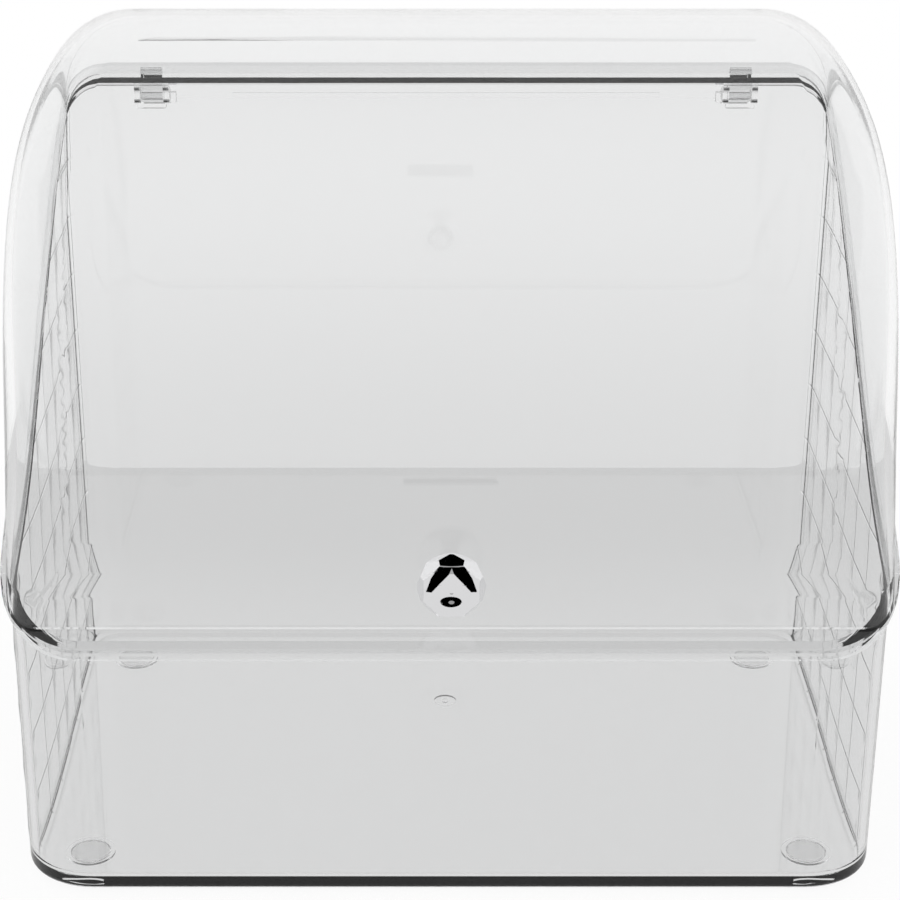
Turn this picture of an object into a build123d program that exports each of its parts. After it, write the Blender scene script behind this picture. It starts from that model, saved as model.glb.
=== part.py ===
from build123d import *
from math import acos, cos, degrees, radians, sin, sqrt, tan
import os

os.makedirs("parts", exist_ok=True)

# Clear countertop box with a domed lid that is hinged along its top rear edge.
# X runs across the front, Y to the back and Z up from the surface that the box stands on.
# The origin is the middle of the footprint, knob and hinges included. All lengths are millimetres.

# ---- overall form
outer_width = 304.8         # across the side walls at the joint line
outer_depth = 196.7         # lid front face to lid back face
seam_front_height = 100.3   # joint line at the lid's front face
seam_slope = 36.5           # how steeply the joint line climbs to the back, degrees
spring_height = 134.3       # where the upright front of the lid turns into the arch
arch_radius = 146.0         # outside of the arch, seen from the side

# ---- box body
body_wall = 2.8
floor_thickness = 3.8
foot_height = 1.5           # underside of the floor above the surface
draft = 0.33                # lean of the walls, degrees a side
body_front = 5.0            # front wall in front of the lid's front face, at the joint line
base_corner_front = 25.5    # upright corners at the underside
base_corner_back = 15.0
heel_round = 3.0            # floor to wall, outside
cove_round = 3.0            # floor to wall, inside

# ---- quilted relief on the outside of both side walls
quilt_pitch = 23.8
quilt_rise = 1.1            # how far each pillow stands out of the wall
quilt_spread = 1.06         # pillow radius as a share of half its cell's diagonal
quilt_columns = 7           # the first one starts where the front corner ends

# ---- rims where body and lid meet
rim_side = 2.8              # how far the rims stand out past the walls
rim_front = 6.2
body_rim_back = 1.0
lid_rim_back = 5.0
rim_corner_front = 28.5
rim_corner_back = 17.0
body_rim_thickness = 2.4
lid_rim_thickness = 1.4
body_rim_bevel = 0.6        # lower outer edge of the body rim
lid_rim_bevel = 0.4         # upper outer edge of the lid rim
seam_gap = 0.2              # the joint line itself

# ---- lid
lid_wall = 2.4
lid_corner_front = 24.0     # round down both front corners
lid_corner_roof = 36.0      # the same round is this wide along the top of the arch
widening_start = 0.4        # where it starts to widen, as a share of the arch
widening_end = 0.75
widening_steps = 3
lid_back_round = 14.0       # round the edge of the back face

# ---- hinges
hinge_spacing = 232.0       # middle to middle
hinge_drop = 8.0            # axis below the joint line at the back wall
hinge_reach = 8.0           # axis behind the back wall
hinge_window = 9.0          # clear width between the two ears of a bracket
ear_thickness = 2.25
ear_margin = 0.9            # ear material round the bar
ear_root_height = 7.5
bar_radius = 1.5
bar_clearance = 0.08
clip_wall = 1.6
clip_root_width = 2.6
clip_side_clearance = 0.3
clip_mouth = 2.5            # the slot that snaps over the bar
open_angle = 110.0
stop_heel = 5.4             # how far the heel that stops the open lid reaches from the axis
stop_heel_width = 2.2
stop_heel_angle = 135.0     # its direction in the closed lid, turned from straight up to the back
stop_pad_height = 3.6
stop_clearance = 0.15
gusset_width = 2.8
gusset_height = 4.0
gusset_depth = 4.0

# ---- stiffening band between the hinges, on the outside of the back wall
band_height = 8.0
band_thickness = 1.2
bead_length = 168.0
bead_height = 2.0
bead_thickness = 0.8

# ---- feet
foot_inset_side = 21.8      # foot centre from the outside of the side wall
foot_inset_end = 24.2       # foot centre from the outside of the front or back wall
foot_ring_outer = 9.0
foot_ring_wall = 1.6
foot_ring_height = 0.8
foot_pad_clearance = 0.2
foot_pad_bevel = 0.3

# ---- gate mark under the floor
gate_radius = 4.5
gate_depth = 0.6
gate_stub_radius = 1.2
gate_from_front = 137.2     # behind the outside of the front wall

# ---- knob and its screw
knob_height = 123.8
knob_radius = 11.6
knob_standoff = 12.0        # ball centre in front of the lid
knob_facets = 8             # in each ring
table_distance = 4.4        # middle of the front facet in front of the ball centre
table_swell_radius = 35.0   # the front facet is slightly domed
crown_lean = 62.0           # normals of the three facet rings, turned from the knob axis, degrees
crown_distance = 9.58       # facets from the ball centre
girdle_lean = 98.0
girdle_distance = 10.95
pavilion_lean = 132.0
pavilion_distance = 10.3
neck_radius = 5.0
knob_foot_radius = 6.5
knob_foot_thickness = 1.2

screw_radius = 2.0
screw_reach = 9.0           # thread inside the knob
screw_hole_clearance = 0.2
screw_fit = 0.05
screw_head_radius = 4.0
screw_head_height = 2.6
screw_slot_width = 1.0
screw_slot_depth = 1.1
washer_radius = 5.5
washer_thickness = 0.8

# ---- derived places
heel_open_angle = radians(stop_heel_angle + open_angle)
heel_open_reach = -stop_heel * sin(heel_open_angle) - stop_heel_width / 2 * cos(heel_open_angle)
heel_rest_reach = (
    stop_heel * sin(radians(stop_heel_angle)) - stop_heel_width / 2 * cos(radians(stop_heel_angle))
)
clip_outer = bar_radius + bar_clearance + clip_wall
ear_radius = bar_radius + ear_margin
reach_front = knob_standoff + table_distance
reach_back = hinge_reach + max(clip_outer, heel_rest_reach)
wall_front = reach_front - (reach_front + outer_depth + reach_back) / 2
wall_back = wall_front + outer_depth
seam_back_height = seam_front_height + outer_depth * tan(radians(seam_slope))
top_height = spring_height + arch_radius
arch_center = wall_front + arch_radius
underside = foot_height
floor_top = underside + floor_thickness
hinge_y = wall_back + hinge_reach
hinge_z = seam_back_height - hinge_drop
bracket_width = hinge_window + 2 * ear_thickness

seam = Plane(
    origin=(0, wall_front, seam_front_height),
    x_dir=(1, 0, 0),
    z_dir=(0, -sin(radians(seam_slope)), cos(radians(seam_slope))),
)
seam_up = Axis((0, 0, 0), tuple(seam.z_dir))
back_face = Plane(origin=(0, wall_back, seam_back_height), x_dir=(-1, 0, 0), z_dir=(0, 1, 0))
knob_face = Plane(origin=(0, wall_front, knob_height), x_dir=(1, 0, 0), z_dir=(0, -1, 0))


def wall_lean(height):
    """How far the leaning body wall has moved outwards at this height."""
    return tan(radians(draft)) * (height - underside)


def seam_height(y):
    """Height of the joint line at a distance along Y."""
    return seam_front_height + (y - wall_front) * tan(radians(seam_slope))


base_front = wall_front - body_front + wall_lean(seam_front_height)
base_back = wall_back - wall_lean(seam_back_height)
base_depth = base_back - base_front
base_middle = (base_front + base_back) / 2
base_width = outer_width - 2 * wall_lean((seam_front_height + seam_back_height) / 2)
side_face = Plane(
    origin=(base_width / 2, base_front, underside),
    x_dir=(0, 1, 0),
    z_dir=(cos(radians(draft)), 0, -sin(radians(draft))),
)


def corner_plate(half_width, front, back, front_corner, back_corner):
    """A flat rectangle with its own radius for the front and for the back corners."""
    with BuildSketch(Plane.XY) as plate:
        with Locations((0, (front + back) / 2)):
            Rectangle(2 * half_width, back - front)
        fillet(plate.vertices().sort_by(Axis.Y)[:2], front_corner)
        fillet(plate.vertices().sort_by(Axis.Y)[-2:], back_corner)
    return plate.sketch


def body_form(inset, start, bottom_round):
    """The leaning, round-cornered form of the body, drawn in by inset, from start to the top."""
    grow = wall_lean(start) - inset
    with BuildPart() as form:
        with BuildSketch(Plane.XY.offset(start)):
            add(
                corner_plate(
                    base_width / 2 + grow,
                    base_front - grow,
                    base_back + grow,
                    base_corner_front + grow,
                    base_corner_back + grow,
                )
            )
        extrude(amount=top_height - start, taper=-draft)
        fillet(form.faces().sort_by(Axis.Z)[0].edges(), bottom_round)
    return form.part


def rim_form(back, low, high, outer_face, bevel):
    """A round-cornered slab along the joint line, between two distances from it."""
    with BuildPart() as form:
        with BuildSketch(Plane.XY):
            add(
                corner_plate(
                    outer_width / 2 + rim_side,
                    wall_front - rim_front,
                    wall_back + back,
                    rim_corner_front,
                    rim_corner_back,
                )
            )
        extrude(amount=top_height)
        split(bisect_by=seam.offset(high), keep=Keep.BOTTOM)
        split(bisect_by=seam.offset(low), keep=Keep.TOP)
        chamfer(form.faces().sort_by(seam_up)[outer_face].edges(), bevel)
    return form.part


def lid_form(inset):
    """The domed form of the lid, drawn in by inset: a band with rounded corners, swept up the front
    and over the arch, with a core inside it, cut off and rounded at the back."""
    radius = arch_radius - inset
    half_width = outer_width / 2 - inset
    front = wall_front + inset
    back = wall_back - inset
    low = seam_front_height / 2
    band = lid_corner_roof + 1
    end_angle = degrees(acos((back - arch_center) / (radius - band))) - 1
    with BuildLine(Plane.YZ) as spine:
        arch = CenterArc((arch_center, spring_height), radius, 180, end_angle - 180)
        upright = Line((front, low), arch @ 0)
    route = spine.wires()[0]
    arch_start = upright.length / route.length

    def band_section(place, corner):
        """The band's cross-section at a place along the route, with its two outer corners round."""
        across = Plane(origin=route @ place, x_dir=(1, 0, 0), z_dir=route % place)
        with BuildSketch(across) as section:
            Rectangle(2 * half_width, band, align=(Align.CENTER, Align.MIN))
            fillet(section.vertices().group_by(Axis.Y)[0], corner - inset)
        return section.sketch

    sections = [band_section(0, lid_corner_front), band_section(arch_start, lid_corner_front)]
    for step in range(widening_steps + 1):
        share = widening_start + step / widening_steps * (widening_end - widening_start)
        widening = sin(radians(90) * step / widening_steps) ** 2
        corner = lid_corner_front + widening * (lid_corner_roof - lid_corner_front)
        sections.append(band_section(arch_start + share * (1 - arch_start), corner))
    sections.append(band_section(1, lid_corner_roof))

    with BuildPart() as form:
        sweep(sections=sections, path=route, multisection=True)
        with BuildSketch(Plane.YZ):
            with BuildLine():
                core = CenterArc(
                    (arch_center, spring_height), radius - band + 1, end_angle, 180 - end_angle
                )
                Polyline(core @ 1, (front + band - 1, low), ((core @ 0).Y, low), core @ 0)
            make_face()
        extrude(amount=half_width, both=True)
        split(bisect_by=back_face.offset(-inset), keep=Keep.BOTTOM)
        back_edges = form.faces().sort_by(Axis.Y)[-1].edges()
        fillet(back_edges.sort_by(Axis.Z)[1:], lid_back_round - inset)
    return form.part


def hinge_bracket(middle):
    """Two ears behind the back wall with a round bar between them, and the lid's stop pad."""
    with BuildPart() as bracket:
        for ear in (-1, 1):
            with BuildSketch(Plane.YZ.offset(middle + ear * (hinge_window + ear_thickness) / 2)):
                with Locations((hinge_y, hinge_z)):
                    Circle(ear_radius)
                with Locations((wall_back, hinge_z - ear_radius + ear_root_height / 2)):
                    Rectangle(body_wall, ear_root_height)
                make_hull()
            extrude(amount=ear_thickness / 2, both=True)
        with BuildSketch(Plane.YZ.offset(middle)):
            with Locations((hinge_y, hinge_z)):
                Circle(bar_radius)
        extrude(amount=(hinge_window + ear_thickness) / 2, both=True)
        pad_middle = hinge_z + stop_heel * cos(heel_open_angle)
        with BuildSketch(back_face.offset(-body_wall / 2)):
            with Locations((-middle, pad_middle - seam_back_height)):
                Rectangle(hinge_window + ear_thickness, stop_pad_height)
        extrude(amount=body_wall / 2 + hinge_reach - heel_open_reach - stop_clearance)
        inner_edge = bracket_width / 2 + gusset_width / 2
        towards_middle = -1 if middle > 0 else 1
        with BuildSketch(back_face.offset(-body_wall / 2)):
            with Locations((-middle - towards_middle * inner_edge, hinge_z - seam_back_height)):
                Rectangle(gusset_width, gusset_height)
        extrude(amount=gusset_depth + body_wall / 2)
    return bracket.part


def hinge_clip(middle):
    """The snap clip that hangs from the lid rim and turns on the bar, with its stop heel."""
    root_y = wall_back + lid_rim_back / 2
    root_z = seam_height(root_y) + (seam_gap + lid_rim_thickness / 2) / cos(radians(seam_slope))
    heel = radians(stop_heel_angle)
    with BuildPart() as clip:
        with BuildSketch(Plane.YZ.offset(middle)):
            with Locations((hinge_y, hinge_z)):
                Circle(clip_outer)
            with Locations((root_y, root_z)):
                Rectangle(clip_root_width, lid_rim_thickness / 2, rotation=seam_slope)
            make_hull()
            with Locations((hinge_y + stop_heel / 2 * sin(heel), hinge_z + stop_heel / 2 * cos(heel))):
                Rectangle(stop_heel, stop_heel_width, rotation=90 - stop_heel_angle)
            with Locations((hinge_y, hinge_z)):
                Circle(bar_radius + bar_clearance, mode=Mode.SUBTRACT)
            with Locations((hinge_y, hinge_z - stop_heel / 2)):
                Rectangle(clip_mouth, stop_heel, mode=Mode.SUBTRACT)
        extrude(amount=hinge_window / 2 - clip_side_clearance, both=True)
    return clip.part


# ---------------------------------------------------------------- quilted relief
half_diagonal = quilt_pitch * sqrt(2) / 2
pillow_edge = half_diagonal * quilt_spread
pillow_radius = (pillow_edge**2 + quilt_rise**2) / (2 * quilt_rise)

with BuildPart() as pillow:
    with Locations((0, 0, quilt_rise - pillow_radius)):
        Sphere(pillow_radius, rotation=(90, 0, 0))
    with Locations((0, 0, -body_wall / 2)):
        Box(
            quilt_pitch,
            quilt_pitch,
            body_wall / 2 + quilt_rise,
            align=(Align.CENTER, Align.CENTER, Align.MIN),
            mode=Mode.INTERSECT,
        )

cells = []
for column in range(quilt_columns):
    along = base_corner_front + quilt_pitch * (column + 0.5)
    rim_bottom = seam_height(base_front + along) - underside
    up = quilt_pitch / 2
    while up < rim_bottom + quilt_pitch / 2:
        cells.append(side_face.location * Pos(along, up, 0))
        up += quilt_pitch

with BuildPart() as quilt:
    with Locations(*cells):
        add(pillow.part)
    split(bisect_by=seam.offset(-body_rim_thickness / 2), keep=Keep.BOTTOM)
    split(bisect_by=Plane.XY.offset(underside + heel_round), keep=Keep.TOP)
    split(bisect_by=back_face.offset(base_back - base_corner_back - wall_back), keep=Keep.BOTTOM)
    mirror(about=Plane.YZ)

# ---------------------------------------------------------------- body
foot_span_x = base_width - 2 * foot_inset_side
foot_span_y = base_depth - 2 * foot_inset_end

with BuildPart() as body:
    add(body_form(0, underside, heel_round))
    split(bisect_by=seam, keep=Keep.BOTTOM)
    add(quilt.part)
    add(rim_form(body_rim_back, -body_rim_thickness, 0, 0, body_rim_bevel))
    with BuildSketch(back_face.offset(-body_wall / 2)):
        with Locations((0, -body_rim_thickness / 2)):
            Rectangle(
                hinge_spacing - bracket_width,
                band_height - body_rim_thickness / 2,
                align=(Align.CENTER, Align.MAX),
            )
    extrude(amount=band_thickness + body_wall / 2)
    with BuildSketch(back_face):
        with Locations((0, -band_height + bead_height / 2)):
            Rectangle(bead_length, bead_height)
    extrude(amount=band_thickness + bead_thickness)
    for side in (-1, 1):
        add(hinge_bracket(side * hinge_spacing / 2))
    with BuildSketch(Plane.XY.offset(underside)):
        with Locations((0, base_middle)):
            with GridLocations(foot_span_x, foot_span_y, 2, 2):
                Circle(foot_ring_outer)
                Circle(foot_ring_outer - foot_ring_wall, mode=Mode.SUBTRACT)
    extrude(amount=-foot_ring_height)
    add(body_form(body_wall, floor_top, cove_round), mode=Mode.SUBTRACT)
    with BuildSketch(Plane.XY.offset(underside)):
        with Locations((0, base_front + gate_from_front)):
            Circle(gate_radius)
            Circle(gate_stub_radius, mode=Mode.SUBTRACT)
    extrude(amount=gate_depth, mode=Mode.SUBTRACT)

body.part.label = "body"
export_step(body.part, "parts/body.step")

# ---------------------------------------------------------------- foot pads
pad_radius = foot_ring_outer - foot_ring_wall - foot_pad_clearance
pad_rows = {"front": base_middle - foot_span_y / 2, "back": base_middle + foot_span_y / 2}
pad_columns = {"left": -foot_span_x / 2, "right": foot_span_x / 2}

for row, pad_y in pad_rows.items():
    for column, pad_x in pad_columns.items():
        with BuildPart() as foot_pad:
            with BuildSketch():
                with Locations((pad_x, pad_y)):
                    Circle(pad_radius)
            extrude(amount=foot_height)
            chamfer(foot_pad.faces().sort_by(Axis.Z)[0].edges(), foot_pad_bevel)
        foot_pad.part.label = f"foot_pad_{row}_{column}"
        export_step(foot_pad.part, f"parts/foot_pad_{row}_{column}.step")

# ---------------------------------------------------------------- lid
with BuildPart() as lid:
    add(lid_form(0))
    split(bisect_by=seam.offset(seam_gap), keep=Keep.TOP)
    add(rim_form(lid_rim_back, seam_gap, seam_gap + lid_rim_thickness, -1, lid_rim_bevel))
    for side in (-1, 1):
        add(hinge_clip(side * hinge_spacing / 2))
    add(lid_form(lid_wall), mode=Mode.SUBTRACT)
    with BuildSketch(knob_face):
        Circle(screw_radius + screw_hole_clearance)
    extrude(amount=-lid_wall, mode=Mode.SUBTRACT)

lid.part.label = "lid"
export_step(lid.part, "parts/lid.step")

# ---------------------------------------------------------------- knob


def facet_plane(lean, turn, distance):
    """A cutting plane whose normal leans from the knob axis and is turned about it."""
    direction = (
        sin(radians(lean)) * cos(radians(turn)),
        sin(radians(lean)) * sin(radians(turn)),
        cos(radians(lean)),
    )
    normal = knob_face.from_local_coords(Vector(direction)) - knob_face.origin
    ball_centre = knob_face.from_local_coords(Vector(0, 0, knob_standoff))
    return Plane(origin=ball_centre + normal * distance, z_dir=normal)


facet_step = 360 / knob_facets
facet_rings = (
    (crown_lean, crown_distance, 0),
    (girdle_lean, girdle_distance, facet_step / 2),
    (pavilion_lean, pavilion_distance, 0),
)

with BuildPart(knob_face) as knob:
    with Locations((0, 0, knob_standoff)):
        Sphere(knob_radius)
    with Locations((0, 0, knob_standoff + table_distance - table_swell_radius)):
        Sphere(table_swell_radius, mode=Mode.INTERSECT)
    for lean, distance, first_turn in facet_rings:
        for facet in range(knob_facets):
            cut = facet_plane(lean, first_turn + facet * facet_step, distance)
            split(bisect_by=cut, keep=Keep.BOTTOM)
    with BuildSketch(knob_face):
        Circle(neck_radius)
    extrude(amount=knob_standoff)
    with BuildSketch(knob_face):
        Circle(knob_foot_radius)
    extrude(amount=knob_foot_thickness)
    with BuildSketch(knob_face):
        Circle(screw_radius + screw_fit)
    extrude(amount=screw_reach + screw_fit, mode=Mode.SUBTRACT)

knob.part.label = "knob"
export_step(knob.part, "parts/knob.step")

# ---------------------------------------------------------------- knob screw and washer
with BuildPart() as knob_washer:
    with BuildSketch(knob_face.offset(-lid_wall)):
        Circle(washer_radius)
        Circle(screw_radius + screw_hole_clearance, mode=Mode.SUBTRACT)
    extrude(amount=-washer_thickness)

knob_washer.part.label = "knob_washer"
export_step(knob_washer.part, "parts/knob_washer.step")

head_face = knob_face.offset(-lid_wall - washer_thickness)

with BuildPart() as knob_screw:
    with BuildSketch(head_face):
        Circle(screw_radius)
    extrude(amount=lid_wall + washer_thickness + screw_reach)
    with BuildSketch(head_face):
        Circle(screw_head_radius)
    extrude(amount=-screw_head_height)
    fillet(knob_screw.edges().sort_by(Axis.Y)[-1], screw_head_height / 2)
    with BuildSketch(head_face.offset(-screw_head_height)):
        Rectangle(2 * screw_head_radius, screw_slot_width)
        Rectangle(screw_slot_width, 2 * screw_head_radius)
    extrude(amount=screw_slot_depth, mode=Mode.SUBTRACT)

knob_screw.part.label = "knob_screw"
export_step(knob_screw.part, "parts/knob_screw.step")
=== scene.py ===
# %% [markdown]
# # A clear make-up box under a domed lid
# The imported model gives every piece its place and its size. This lesson gives the pieces their
# looks: clear plastic walls, a bright faceted knob, a steel screw and soft clear pads, standing
# on a pale table in a plain studio.

# %% Load the frame
import math

import bpy
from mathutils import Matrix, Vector


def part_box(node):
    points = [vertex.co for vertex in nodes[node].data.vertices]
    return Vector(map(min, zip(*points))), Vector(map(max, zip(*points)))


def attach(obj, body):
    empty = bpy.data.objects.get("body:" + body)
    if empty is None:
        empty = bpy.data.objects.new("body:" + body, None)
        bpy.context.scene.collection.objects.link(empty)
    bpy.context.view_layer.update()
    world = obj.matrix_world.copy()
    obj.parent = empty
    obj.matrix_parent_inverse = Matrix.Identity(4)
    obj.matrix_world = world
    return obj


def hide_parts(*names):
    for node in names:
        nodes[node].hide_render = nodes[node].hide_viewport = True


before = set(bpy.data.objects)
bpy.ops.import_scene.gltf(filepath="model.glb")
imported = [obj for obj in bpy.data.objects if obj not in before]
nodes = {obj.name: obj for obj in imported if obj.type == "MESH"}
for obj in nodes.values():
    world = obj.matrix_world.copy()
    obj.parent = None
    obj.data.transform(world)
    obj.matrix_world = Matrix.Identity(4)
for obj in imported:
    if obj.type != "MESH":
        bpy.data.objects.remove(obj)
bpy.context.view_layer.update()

print("pieces:", sorted(nodes))

# %% [markdown]
# ## Camera
# The photograph was taken with a long lens, from the front and a little above the box, with the
# lens a few centimetres to the left of the box's middle. The view is level from side to side, so
# the sideways offset is a lens shift and the walls stay upright.

# %% Camera
PHOTO_PIXELS = 900.0
FOCAL_PIXELS = 2351.0
SHIFT_PIXELS = 32.6
VIEW_DOWN = math.radians(22.3)
LID_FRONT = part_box("lid")[0][1] + 0.0062
CAMERA_PLACE = Vector((-0.01125, LID_FRONT - 0.7144, 0.4610))

camera_data = bpy.data.cameras.new("camera")
camera_data.sensor_width = 36.0
camera_data.lens = camera_data.sensor_width * FOCAL_PIXELS / PHOTO_PIXELS
camera_data.shift_x = SHIFT_PIXELS / PHOTO_PIXELS
camera = bpy.data.objects.new("camera", camera_data)
camera.location = CAMERA_PLACE
camera.rotation_euler = (math.pi / 2 - VIEW_DOWN, 0.0, 0.0)
bpy.context.collection.objects.link(camera)
bpy.context.scene.camera = camera
bpy.context.scene.view_settings.view_transform = "Standard"
print("lens", round(camera_data.lens, 1), "mm")

# %% [markdown]
# ## Building blocks for the finishes
# Every finish starts from one shader and a few helper nodes. Two small helpers keep the cells
# below short: one adds a node with its values, the other starts a material.

# %% Node helpers


def add_node(tree, kind, values=None, **settings):
    """Adds a node, sets its properties and the given input sockets, and returns it."""
    node = tree.nodes.new(kind)
    for name, value in settings.items():
        setattr(node, name, value)
    for socket, value in (values or {}).items():
        node.inputs[socket].default_value = value
    return node


def start_material(name, color, roughness, metallic=0.0):
    """A new material with plain values on its shader. Returns the material and the shader."""
    material = bpy.data.materials.new(name)
    material.use_nodes = True
    shader = material.node_tree.nodes["Principled BSDF"]
    shader.inputs["Base Color"].default_value = (*color, 1.0)
    shader.inputs["Roughness"].default_value = roughness
    shader.inputs["Metallic"].default_value = metallic
    return material, shader


def math_node(tree, operation, first, second=None, clamp=False):
    """A math node whose inputs are sockets or numbers. Returns its output."""
    node = add_node(tree, "ShaderNodeMath", operation=operation, use_clamp=clamp)
    for place, value in enumerate((first, second)):
        if value is None:
            continue
        if isinstance(value, (int, float)):
            node.inputs[place].default_value = value
        else:
            tree.links.new(value, node.inputs[place])
    return node.outputs[0]


def smooth_step(tree, value, low, high):
    """0 below low, 1 above high and a soft change between them."""
    node = add_node(tree, "ShaderNodeMapRange", interpolation_type="SMOOTHSTEP")
    tree.links.new(value, node.inputs["Value"])
    node.inputs["From Min"].default_value = low
    node.inputs["From Max"].default_value = high
    return node.outputs["Result"]


print("helpers ready")

# %% [markdown]
# ## Handling wear
# Clear plastic and bright metal both pick up fine scratches, smears and dust as they are handled.
# It is the same effect at different strengths, so it is one node group: it puts out a roughness
# and a normal, and each material gives it its own base roughness, scratch and wave depth.

# %% Handling wear group


def build_wear_group():
    group = bpy.data.node_groups.new("handling wear", "ShaderNodeTree")
    sockets = group.interface
    for name, value in (
        ("Roughness", 0.02),
        ("Smears", 0.02),
        ("Scratch Depth", 0.02),
        ("Wave Depth", 0.02),
        ("Wave Size", 30.0),
    ):
        socket = sockets.new_socket(name, in_out="INPUT", socket_type="NodeSocketFloat")
        socket.default_value = value
    sockets.new_socket("Roughness", in_out="OUTPUT", socket_type="NodeSocketFloat")
    sockets.new_socket("Normal", in_out="OUTPUT", socket_type="NodeSocketVector")
    entry = add_node(group, "NodeGroupInput")
    result = add_node(group, "NodeGroupOutput")
    place = add_node(group, "ShaderNodeTexCoord")

    smears = add_node(group, "ShaderNodeTexNoise", {"Scale": 14.0, "Detail": 4.0})
    group.links.new(place.outputs["Object"], smears.inputs["Vector"])
    patches = smooth_step(group, smears.outputs["Fac"], 0.45, 0.75)
    rougher = math_node(group, "MULTIPLY", patches, entry.outputs["Smears"])
    total = math_node(group, "ADD", rougher, entry.outputs["Roughness"])
    group.links.new(total, result.inputs["Roughness"])

    stretched = add_node(group, "ShaderNodeMapping", {"Scale": (1.0, 40.0, 30.0)})
    stretched.inputs["Rotation"].default_value = (0.3, 0.5, 0.7)
    group.links.new(place.outputs["Object"], stretched.inputs["Vector"])
    scratches = add_node(group, "ShaderNodeTexNoise", {"Scale": 45.0, "Detail": 3.0})
    group.links.new(stretched.outputs["Vector"], scratches.inputs["Vector"])
    lines = smooth_step(group, scratches.outputs["Fac"], 0.66, 0.74)

    waves = add_node(group, "ShaderNodeTexNoise", {"Detail": 1.0})
    group.links.new(place.outputs["Object"], waves.inputs["Vector"])
    group.links.new(entry.outputs["Wave Size"], waves.inputs["Scale"])

    height = math_node(group, "MULTIPLY", lines, entry.outputs["Scratch Depth"])
    swell = math_node(group, "MULTIPLY", waves.outputs["Fac"], entry.outputs["Wave Depth"])
    both = math_node(group, "ADD", height, swell)
    bump = add_node(group, "ShaderNodeBump", {"Strength": 1.0, "Distance": 0.001})
    group.links.new(both, bump.inputs["Height"])
    group.links.new(bump.outputs["Normal"], result.inputs["Normal"])
    return group


wear_group = build_wear_group()


def add_wear(material, shader, roughness, smears, scratch_depth, wave_depth, wave_size):
    tree = material.node_tree
    wear = add_node(
        tree,
        "ShaderNodeGroup",
        node_tree=wear_group,
    )
    wear.inputs["Roughness"].default_value = roughness
    wear.inputs["Smears"].default_value = smears
    wear.inputs["Scratch Depth"].default_value = scratch_depth
    wear.inputs["Wave Depth"].default_value = wave_depth
    wear.inputs["Wave Size"].default_value = wave_size
    tree.links.new(wear.outputs["Roughness"], shader.inputs["Roughness"])
    tree.links.new(wear.outputs["Normal"], shader.inputs["Normal"])


print("wear group:", len(wear_group.nodes), "nodes")

# %% [markdown]
# ## Measures
# The mouldings' own sizes, in metres. The finishes and the even surfaces below are placed by them.

# %% Measures of the mouldings
LID_HALF_WIDTH = 0.1524
LID_WALL = 0.0024
ARCH_RADIUS = 0.146
SPRING_HEIGHT = 0.1343
ARCH_END = math.radians(118.7)
CORNER_FRONT = 0.024
CORNER_ROOF = 0.036
WIDENING_START = 0.4
WIDENING_END = 0.75
ARCH_CENTRE = LID_FRONT + ARCH_RADIUS
BACK_ROUND_START = LID_FRONT + 0.1967 - 0.0142
BASE_FRONT = LID_FRONT - 0.00443
UNDERSIDE = 0.0015
WALL_LEAN = math.radians(0.33)
QUILT_PITCH = 0.0238
QUILT_START = BASE_FRONT + 0.0255
QUILT_TILT_KEPT = 0.10
print("relief starts", round(QUILT_START - LID_FRONT, 4), "m behind the lid's front")

# %% [markdown]
# ## Clear plastic
# The body and the lid are injection mouldings in clear polystyrene: almost colourless, glossy on
# both faces, with the faintest waves that the cooling leaves. Real walls with a real thickness
# bend the light by themselves, so the material only needs full transmission, the plastic's
# index of refraction and a breath of tint.

# %% Clear plastic


def clear_plastic(name, tint, smears, wave_depth):
    material, shader = start_material(name, tint, 0.0)
    shader.inputs["Transmission Weight"].default_value = 1.0
    shader.inputs["IOR"].default_value = 1.49
    add_wear(material, shader, 0.0, smears, 0.0, wave_depth, 22.0)
    return material


clear_body = clear_plastic("clear_body", (0.925, 0.927, 0.928), 0.02, 0.02)


def line_mask(tree, value, start, pitch, half_width):
    """1 on lines that repeat at a pitch along a value, and 0 between them."""
    moved = math_node(tree, "SUBTRACT", value, start - pitch / 2)
    share = math_node(tree, "WRAP", moved, pitch)
    share.node.inputs[2].default_value = 0.0
    away = math_node(tree, "ABSOLUTE", math_node(tree, "SUBTRACT", share, pitch / 2))
    return math_node(tree, "SUBTRACT", 1.0, smooth_step(tree, away, 0.0, half_width))


def add_quilt_creases(material, depth, half_width):
    """Presses fine creases along the borders of the pillows on the outside of the side walls."""
    tree = material.node_tree
    shader = tree.nodes["Principled BSDF"]
    place = add_node(tree, "ShaderNodeTexCoord")
    split = add_node(tree, "ShaderNodeSeparateXYZ")
    tree.links.new(place.outputs["Object"], split.inputs[0])
    x, y, z = split.outputs
    columns = line_mask(tree, y, QUILT_START, QUILT_PITCH, half_width)
    rows = line_mask(tree, z, UNDERSIDE, QUILT_PITCH, half_width)
    both = math_node(tree, "MAXIMUM", columns, rows)
    outside = smooth_step(tree, math_node(tree, "ABSOLUTE", x), 0.1496, 0.1502)
    behind = smooth_step(tree, y, QUILT_START - 0.001, QUILT_START)
    mask = math_node(tree, "MULTIPLY", outside, behind)
    height = math_node(tree, "MULTIPLY", both, mask)
    bump = add_node(tree, "ShaderNodeBump", {"Strength": 1.0, "Distance": depth}, invert=True)
    tree.links.new(height, bump.inputs["Height"])
    tree.links.new(shader.inputs["Normal"].links[0].from_socket, bump.inputs["Normal"])
    tree.links.new(bump.outputs["Normal"], shader.inputs["Normal"])


add_quilt_creases(clear_body, 0.00012, 0.0007)
clear_lid = clear_plastic("clear_lid", (0.925, 0.927, 0.928), 0.02, 0.02)
print("clear plastics:", clear_body.name, clear_lid.name)

# %% [markdown]
# ## Metal and rubber
# The knob is die-cast, cut with flat facets and chromed, so it shows the studio in hard patches of
# black and white. Its screw is plain zinc-plated steel. The washer and the four foot pads are soft
# clear plastic with a satin skin.

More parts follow.
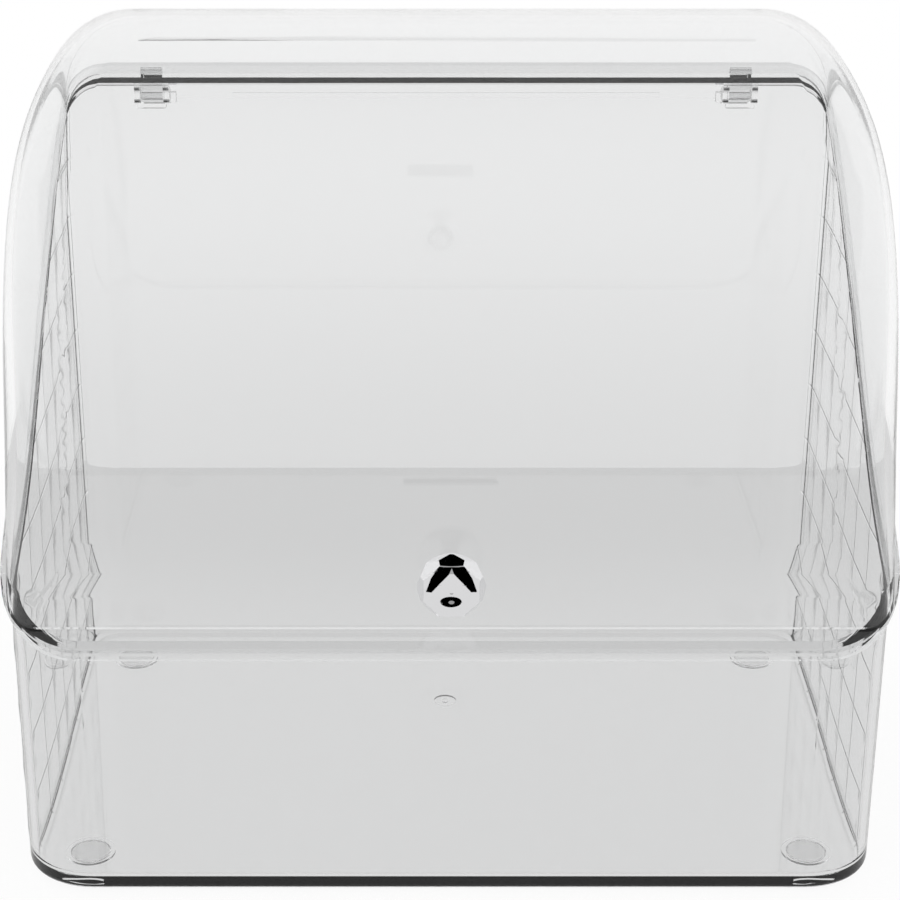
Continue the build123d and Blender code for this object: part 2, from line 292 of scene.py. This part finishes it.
# %% Metal and rubber
chrome, chrome_shader = start_material("knob_chrome", (0.86, 0.86, 0.87), 0.02, 1.0)
add_wear(chrome, chrome_shader, 0.02, 0.03, 0.004, 0.0, 30.0)

steel, steel_shader = start_material("screw_steel", (0.62, 0.62, 0.63), 0.22, 1.0)
add_wear(steel, steel_shader, 0.2, 0.15, 0.02, 0.01, 400.0)


def soft_pad(name, tint, roughness):
    material, shader = start_material(name, tint, roughness)
    shader.inputs["Transmission Weight"].default_value = 0.9
    shader.inputs["IOR"].default_value = 1.45
    add_wear(material, shader, roughness, 0.1, 0.01, 0.02, 500.0)
    return material


washer_soft = soft_pad("washer_soft", (0.93, 0.94, 0.94), 0.25)
foot_soft = soft_pad("foot_soft", (0.97, 0.97, 0.97), 0.0)


def paint(name, material):
    mesh = nodes[name].data
    mesh.materials.clear()
    mesh.materials.append(material)


paint("knob", chrome)
paint("knob_screw", steel)
paint("knob_washer", washer_soft)
print("painted", chrome.name, steel.name, washer_soft.name)

# %% [markdown]
# ## Even surfaces for the clear mouldings
# A clear wall shows every unevenness of its surface, because it bends what lies behind it. The
# model's triangles are fine for shape, but their shading directions waver on the swept dome. The
# dome follows a simple rule, so a copy of the lid gets its shading directions from that rule: out
# from the arch's centre on the roof and the front, round the corner's own centre on the corners.

# %% The rule of the dome
def corner_radius(angle):
    """The round between the dome's side and its arch, at an angle from the front along the arch."""
    share = (angle / ARCH_END - WIDENING_START) / (WIDENING_END - WIDENING_START)
    widening = math.sin(math.pi / 2 * min(1.0, max(0.0, share))) ** 2
    return CORNER_FRONT + widening * (CORNER_ROOF - CORNER_FRONT)


def dome_direction(place, inset):
    """The dome's outward direction at a place, and how far the place is from the surface."""
    y = place.y - ARCH_CENTRE
    z = place.z - SPRING_HEIGHT
    if z > 0:
        reach = math.hypot(y, z)
        outward = Vector((0.0, y / reach, z / reach))
        angle = math.atan2(z, -y)
    else:
        reach = -y
        outward = Vector((0.0, -1.0, 0.0))
        angle = 0.0
    corner = corner_radius(angle) - inset
    across = abs(place.x) - (LID_HALF_WIDTH - inset - corner)
    along = corner - (ARCH_RADIUS - inset - reach)
    if along <= 0.0:
        return Vector((math.copysign(1.0, place.x), 0.0, 0.0)), abs(across - corner)
    if across <= 0.0:
        return outward, abs(along - corner)
    direction = outward * along
    direction.x = math.copysign(across, place.x)
    return direction.normalized(), abs(direction.length - corner)


FARTHEST_FROM_RULE = 0.0032
LEAST_AGREEMENT = 0.965


def even_dome(place, normal):
    """The shading direction for a corner of a lid triangle."""
    if place.y > BACK_ROUND_START:
        return normal
    for inset, way in ((0.0, 1.0), (LID_WALL, -1.0)):
        direction, miss = dome_direction(place, inset)
        if miss < FARTHEST_FROM_RULE and normal.dot(direction * way) > LEAST_AGREEMENT:
            return direction * way
    return normal


print("corner radius at the roof", round(corner_radius(ARCH_END) * 1000, 1), "mm")

# %% [markdown]
# The relief on the side walls is low and soft: seen along the wall it reads as a net of fine
# lines. The pillows keep their shape in the copy of the body, while most of their tilt is taken
# out of the shading, which leaves the creases between them as those lines.

# %% Copies with even shading


def even_quilt(place, normal):
    """The shading direction for a corner of a body triangle."""
    if abs(normal.x) < 0.95 or abs(normal.x) > 0.99999 or place.y < QUILT_START:
        return normal
    side = math.copysign(1.0, normal.x)
    wall = Vector((side * math.cos(WALL_LEAN), 0.0, -math.sin(WALL_LEAN)))
    if abs(place.x) < LID_HALF_WIDTH - 0.0022 or normal.x * place.x < 0:
        return normal
    return (wall + (normal - wall) * QUILT_TILT_KEPT).normalized()


def even_copy(name, piece_name, material, rule):
    """A copy of a moulding whose shading directions follow a rule. It stands for the node."""
    mesh = nodes[name].data.copy()
    mesh.name = piece_name
    places = [vertex.co.copy() for vertex in mesh.vertices]
    normals = [corner.vector.copy() for corner in mesh.corner_normals]
    changed = [rule(places[loop.vertex_index], normals[loop.index]) for loop in mesh.loops]
    mesh.normals_split_custom_set(changed)
    mesh.materials.clear()
    mesh.materials.append(material)
    piece = bpy.data.objects.new(piece_name, mesh)
    bpy.context.collection.objects.link(piece)
    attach(piece, name)
    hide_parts(name)
    moved = sum(1 for a, b in zip(normals, changed) if a.angle(b, 0.0) > 0.002)
    print(piece_name, "evened", moved, "of", len(changed), "corners")
    return piece


AIR_FILM = 0.00006


def lower_pad(name):
    """A copy of a foot pad that leaves a film of air under the clear floor."""
    mesh = nodes[name].data.copy()
    for vertex in mesh.vertices:
        vertex.co.z = min(vertex.co.z, UNDERSIDE - AIR_FILM)
    mesh.materials.clear()
    mesh.materials.append(foot_soft)
    pad = bpy.data.objects.new("soft_" + name, mesh)
    bpy.context.collection.objects.link(pad)
    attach(pad, "body")
    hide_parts(name)


for name in sorted(nodes):
    if name.startswith("foot_pad"):
        lower_pad(name)

clear_dome = even_copy("lid", "clear_dome", clear_lid, even_dome)
clear_box = even_copy("body", "clear_box", clear_body, even_quilt)

# %% [markdown]
# ## Table
# The box stands on a pale table that ends a hand's breadth behind it, in front of a white
# backdrop. What the camera sees directly is pure white with the box's soft shadow on it. Seen
# through the plastic the table is a little greyer than the backdrop, which draws the soft
# horizon line inside the box. Behind the box that grey glow darkens further: painted shade.

# %% Table
BOX_BACK = LID_FRONT + 0.1967
TABLE_BACK_EDGE = BOX_BACK + 0.19
TABLE_SIDE = 1.6
TABLE_FRONT = -2.2
TABLE_TOP = -0.0003

table_mesh = bpy.data.meshes.new("table")
table_mesh.from_pydata(
    [
        (-TABLE_SIDE, TABLE_FRONT, TABLE_TOP),
        (TABLE_SIDE, TABLE_FRONT, TABLE_TOP),
        (TABLE_SIDE, TABLE_BACK_EDGE, TABLE_TOP),
        (-TABLE_SIDE, TABLE_BACK_EDGE, TABLE_TOP),
    ],
    [],
    [(0, 1, 2, 3)],
)
table = bpy.data.objects.new("table", table_mesh)
bpy.context.collection.objects.link(table)


def table_paper():
    material, shader = start_material("table_paper", (0.92, 0.92, 0.92), 0.9)
    tree = material.node_tree
    rays = add_node(tree, "ShaderNodeLightPath")
    bright = add_node(tree, "ShaderNodeEmission", {"Color": (1, 1, 1, 1), "Strength": 1.0})
    grey = add_node(tree, "ShaderNodeEmission", {"Color": (1, 1, 1, 1)})
    place = add_node(tree, "ShaderNodeTexCoord")
    split = add_node(tree, "ShaderNodeSeparateXYZ")
    tree.links.new(place.outputs["Object"], split.inputs[0])
    # Painted shade: seen through the plastic, the table's glow is darker behind the box.
    painted_shade_behind_box = smooth_step(tree, split.outputs[1], BOX_BACK - 0.02, BOX_BACK + 0.12)
    tone = math_node(tree, "SUBTRACT", 0.79, math_node(tree, "MULTIPLY", painted_shade_behind_box, 0.078))
    tree.links.new(tone, grey.inputs["Strength"])
    glow = add_node(tree, "ShaderNodeMixShader")
    tree.links.new(rays.outputs["Is Camera Ray"], glow.inputs[0])
    tree.links.new(grey.outputs[0], glow.inputs[1])
    tree.links.new(bright.outputs[0], glow.inputs[2])
    seen = math_node(tree, "MAXIMUM", rays.outputs["Is Camera Ray"], rays.outputs["Is Glossy Ray"])
    seen = math_node(tree, "MAXIMUM", seen, rays.outputs["Is Transmission Ray"])
    share = math_node(tree, "MULTIPLY", seen, 0.93)
    mix = add_node(tree, "ShaderNodeMixShader")
    tree.links.new(share, mix.inputs[0])
    tree.links.new(shader.outputs[0], mix.inputs[1])
    tree.links.new(glow.outputs[0], mix.inputs[2])
    tree.links.new(mix.outputs[0], tree.nodes["Material Output"].inputs["Surface"])
    return material


table.data.materials.append(table_paper())
print("table ends", round(TABLE_BACK_EDGE, 3), "m behind the middle")

# %% [markdown]
# ## Studio
# The studio is the world itself: an even white light on matt surfaces, and for gloss and glass a
# room with a white backdrop behind the box, a tall soft light at each side, and darkness behind
# the camera and overhead. The dark parts of the room draw the black lines in the clear plastic
# and the black facets of the knob.

# %% Studio
DARK_SIDE = 0.45

world = bpy.data.worlds.new("studio")
world.use_nodes = True
bpy.context.scene.world = world
room = world.node_tree
room_place = add_node(room, "ShaderNodeTexCoord")
direction = add_node(room, "ShaderNodeSeparateXYZ")
room.links.new(room_place.outputs["Generated"], direction.inputs[0])
to_side, to_back, to_top = direction.outputs

fall = smooth_step(room, to_top, -0.40, -0.25)
backdrop_tone = math_node(room, "ADD", 0.86, math_node(room, "MULTIPLY", fall, 0.14))
backdrop = math_node(
    room,
    "MULTIPLY",
    smooth_step(room, to_back, 0.1, 0.2),
    math_node(room, "SUBTRACT", 1.0, smooth_step(room, to_top, 0.72, 0.8)),
)
side_reach = math_node(room, "ABSOLUTE", to_side)
soft_boxes = math_node(
    room,
    "MULTIPLY",
    smooth_step(room, side_reach, 0.62, 0.68),
    math_node(
        room,
        "MULTIPLY",
        smooth_step(room, to_top, -0.05, 0.0),
        math_node(room, "SUBTRACT", 1.0, smooth_step(room, to_top, 0.62, 0.68)),
    ),
)
backdrop = math_node(room, "MULTIPLY", backdrop, backdrop_tone)
room_light = math_node(room, "MAXIMUM", backdrop, soft_boxes)

rays = add_node(room, "ShaderNodeLightPath")
mirrored = math_node(
    room, "MAXIMUM", rays.outputs["Is Glossy Ray"], rays.outputs["Is Transmission Ray"]
)
plain = math_node(room, "SUBTRACT", 1.0, mirrored)
room_tone = math_node(room, "MAXIMUM", room_light, DARK_SIDE)
strength = math_node(room, "ADD", plain, math_node(room, "MULTIPLY", mirrored, room_tone))
background = room.nodes["Background"]
background.inputs["Color"].default_value = (1.0, 1.0, 1.0, 1.0)
room.links.new(strength, background.inputs["Strength"])
print("studio nodes:", len(room.nodes))

# %% [markdown]
# ## Dark cards for the knob: painted reflections
# Polished metal only looks like metal when it has something dark to mirror. Photographers stand
# black cards round it. These cards are seen in mirror reflections alone, and only from as near as
# the knob is: they cast no shadow and don't show in the plastic or through it. They are painted
# reflections: each outline is drawn so that the knob's front face mirrors a dark band, a dark eye
# or a grey dot at a given place.

# %% Dark cards
CARD_DISTANCE = 0.02
CARD_REACH = 0.034
OVERHEAD = 0.03


def card_finish(name, tone):
    material = bpy.data.materials.new(name)
    material.use_nodes = True
    tree = material.node_tree
    tree.nodes.clear()
    output = add_node(tree, "ShaderNodeOutputMaterial")
    clear = add_node(tree, "ShaderNodeBsdfTransparent")
    dark = add_node(tree, "ShaderNodeEmission", {"Color": (tone, tone, tone, 1)})
    rays = add_node(tree, "ShaderNodeLightPath")
    mix = add_node(tree, "ShaderNodeMixShader")
    near = math_node(tree, "LESS_THAN", rays.outputs["Ray Length"], CARD_REACH)
    seen = math_node(tree, "MULTIPLY", rays.outputs["Is Glossy Ray"], near)
    tree.links.new(seen, mix.inputs[0])
    tree.links.new(clear.outputs[0], mix.inputs[1])
    tree.links.new(dark.outputs[0], mix.inputs[2])
    tree.links.new(mix.outputs[0], output.inputs["Surface"])
    return material


painted_reflection_black = card_finish("painted_reflection_black", 0.0)
painted_reflection_grey = card_finish("painted_reflection_grey", 0.35)


def stand_card(name, corners, material):
    mesh = bpy.data.meshes.new(name)
    mesh.from_pydata(corners, [], [tuple(range(len(corners)))])
    mesh.materials.append(material)
    card = bpy.data.objects.new(name, mesh)
    bpy.context.collection.objects.link(card)
    return card


KNOB_LOW, KNOB_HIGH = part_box("knob")
KNOB_MIDDLE = Vector((0.0, KNOB_LOW[1], (KNOB_LOW[2] + KNOB_HIGH[2]) / 2))
FACE_SWELL = 0.035
FACE_HEIGHT_PIXELS = 591.3
FACE_MIDDLE_PIXELS = 451.6


def seen_in_knob(pixel_x, pixel_y):
    """Where on the card plane the knob's front face mirrors the point seen at a pixel."""
    depth = (KNOB_MIDDLE - CAMERA_PLACE).length
    across = (pixel_x - FACE_MIDDLE_PIXELS) * depth / FOCAL_PIXELS
    up = (FACE_HEIGHT_PIXELS - pixel_y) * depth / FOCAL_PIXELS / math.cos(VIEW_DOWN)
    on_face = KNOB_MIDDLE + Vector((across, 0.0, up))
    normal = Vector((across / FACE_SWELL, -1.0, up / FACE_SWELL)).normalized()
    sight = (on_face - CAMERA_PLACE).normalized()
    mirrored = sight - 2 * sight.dot(normal) * normal
    reach = CARD_DISTANCE / max(0.05, -mirrored.y)
    return on_face + mirrored * reach


def knob_card(name, outline, material, nearer=0.0):
    corners = [seen_in_knob(*point) + Vector((0, nearer, 0)) for point in outline]
    return stand_card(name, [tuple(corner) for corner in corners], material)


# Outlines in pixels of the painted reflections on the knob's face: two dark bands, a dark eye and a
# grey dot.
LEFT_BAND = [(438, 566), (452, 566), (449, 573), (440, 582), (431, 592), (425, 592), (430, 578)]
EYE = [
    (451 + 11 * math.cos(math.radians(15 * step)), 601 + 6 * math.sin(math.radians(15 * step)))
    for step in range(24)
]
DOT = [
    (451.5 + 3 * math.cos(math.radians(30 * step)), 601 + 2 * math.sin(math.radians(30 * step)))
    for step in range(12)
]
knob_card("band_card_left", LEFT_BAND, painted_reflection_black)
RIGHT_BAND = [(2 * FACE_MIDDLE_PIXELS - across, down) for across, down in reversed(LEFT_BAND)]
knob_card("band_card_right", RIGHT_BAND, painted_reflection_black)
knob_card("eye_card", EYE, painted_reflection_black)
knob_card("eye_dot", DOT, painted_reflection_grey, 0.0004)

# A dark painted reflection for the knob's top.
stand_card(
    "overhead_card",
    [
        (-0.016, KNOB_MIDDLE.y - 0.03, KNOB_MIDDLE.z + OVERHEAD),
        (0.016, KNOB_MIDDLE.y - 0.03, KNOB_MIDDLE.z + OVERHEAD),
        (0.016, KNOB_MIDDLE.y + 0.01, KNOB_MIDDLE.z + OVERHEAD),
        (-0.016, KNOB_MIDDLE.y + 0.01, KNOB_MIDDLE.z + OVERHEAD),
    ],
    painted_reflection_black,
)
print("cards stand", CARD_DISTANCE, "m in front of the knob")
